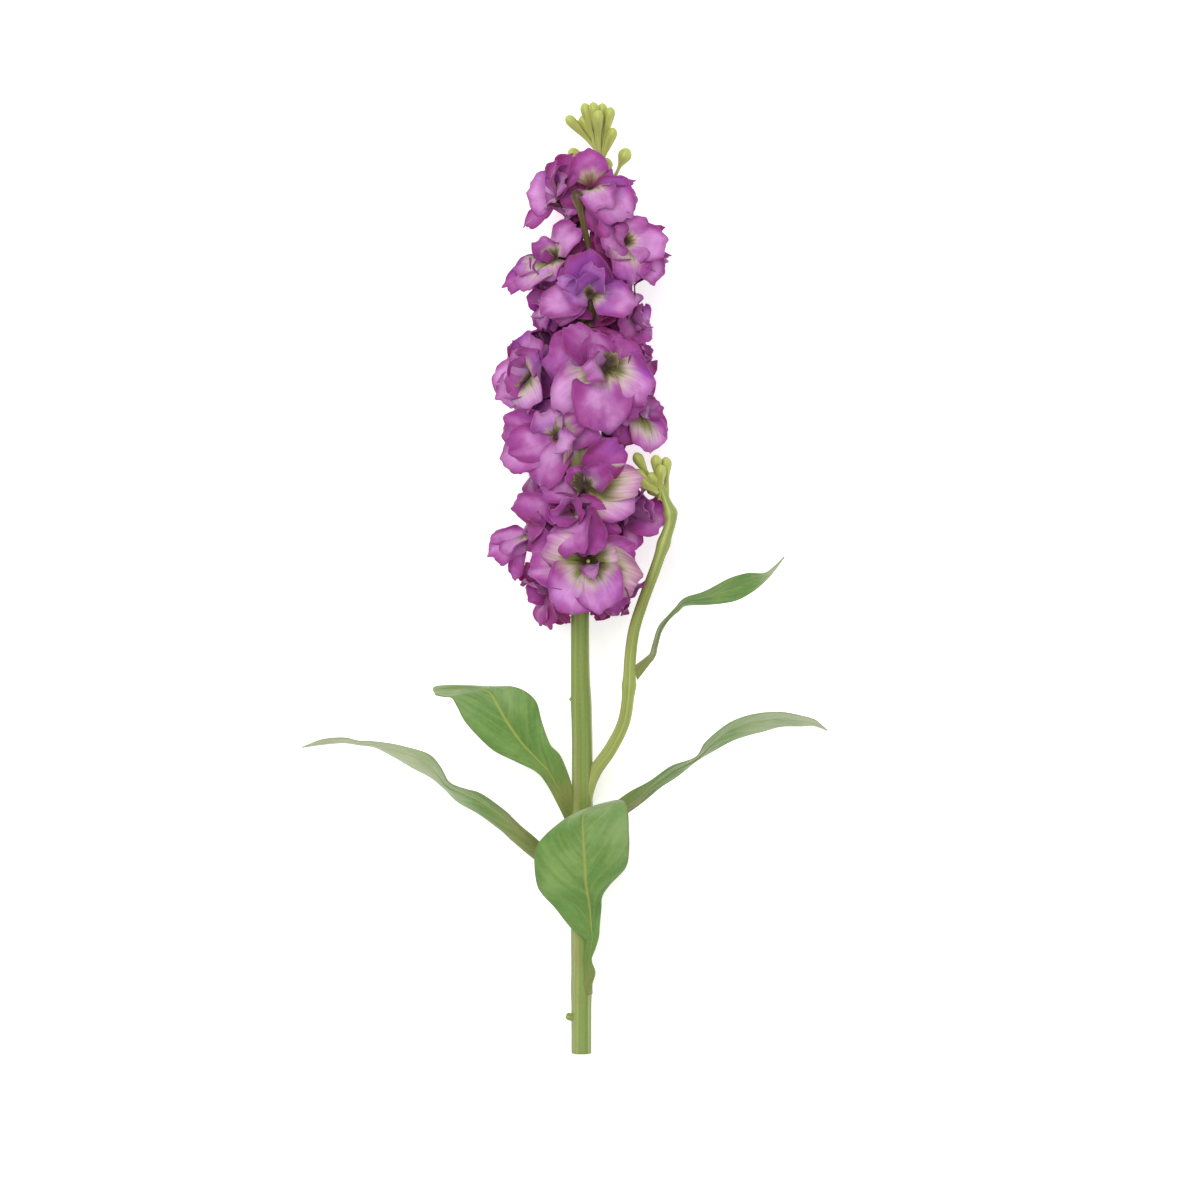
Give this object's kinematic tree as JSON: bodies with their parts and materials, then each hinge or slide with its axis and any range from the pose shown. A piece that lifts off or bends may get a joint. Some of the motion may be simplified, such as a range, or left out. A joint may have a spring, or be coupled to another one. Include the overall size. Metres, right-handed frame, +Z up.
{
  "type": "stock flower stem",
  "caption": "Cut stem of a double-flowered stock lying on its side: a dense spike of ruffled purple florets, green buds, long leaves and a budding side shoot.",
  "frame": {"origin": "centre of the bounding box at its base, on the surface that the stem lies on", "axes": "+Y along the stem to the flower's tip, +Z up from the surface, +X to the right of the stem seen from above"},
  "size_m": [0.21, 0.3801, 0.0657],
  "materials": {
    "stem_green": "waxy matte, finely fluted",
    "bud_green": "matte",
    "leaf_green": "soft matte with a raised midrib",
    "petal_purple": "velvety, paler and greener at the throat"
  },
  "bodies": {
    "root": {"stem": "stem_green", "top_buds": "bud_green", "side_shoot": "bud_green", "leaf_upper_left": "leaf_green", "leaf_long_left": "leaf_green", "leaf_long_right": "leaf_green", "leaf_front": "leaf_green", "leaf_shoot": "leaf_green", "floret_01": "petal_purple", "floret_02": "petal_purple", "floret_03": "petal_purple", "floret_04": "petal_purple", "floret_05": "petal_purple", "floret_06": "petal_purple", "floret_07": "petal_purple", "floret_08": "petal_purple", "floret_09": "petal_purple", "floret_10": "petal_purple", "floret_11": "petal_purple", "floret_12": "petal_purple", "floret_13": "petal_purple", "floret_14": "petal_purple", "floret_15": "petal_purple", "floret_16": "petal_purple", "floret_17": "petal_purple", "floret_18": "petal_purple", "floret_19": "petal_purple", "floret_20": "petal_purple", "floret_21": "petal_purple", "floret_22": "petal_purple", "floret_23": "petal_purple", "floret_24": "petal_purple", "floret_25": "petal_purple", "floret_26": "petal_purple", "floret_27": "petal_purple", "floret_28": "petal_purple", "floret_29": "petal_purple", "floret_30": "petal_purple", "floret_31": "petal_purple"}
  },
  "joints": []
}
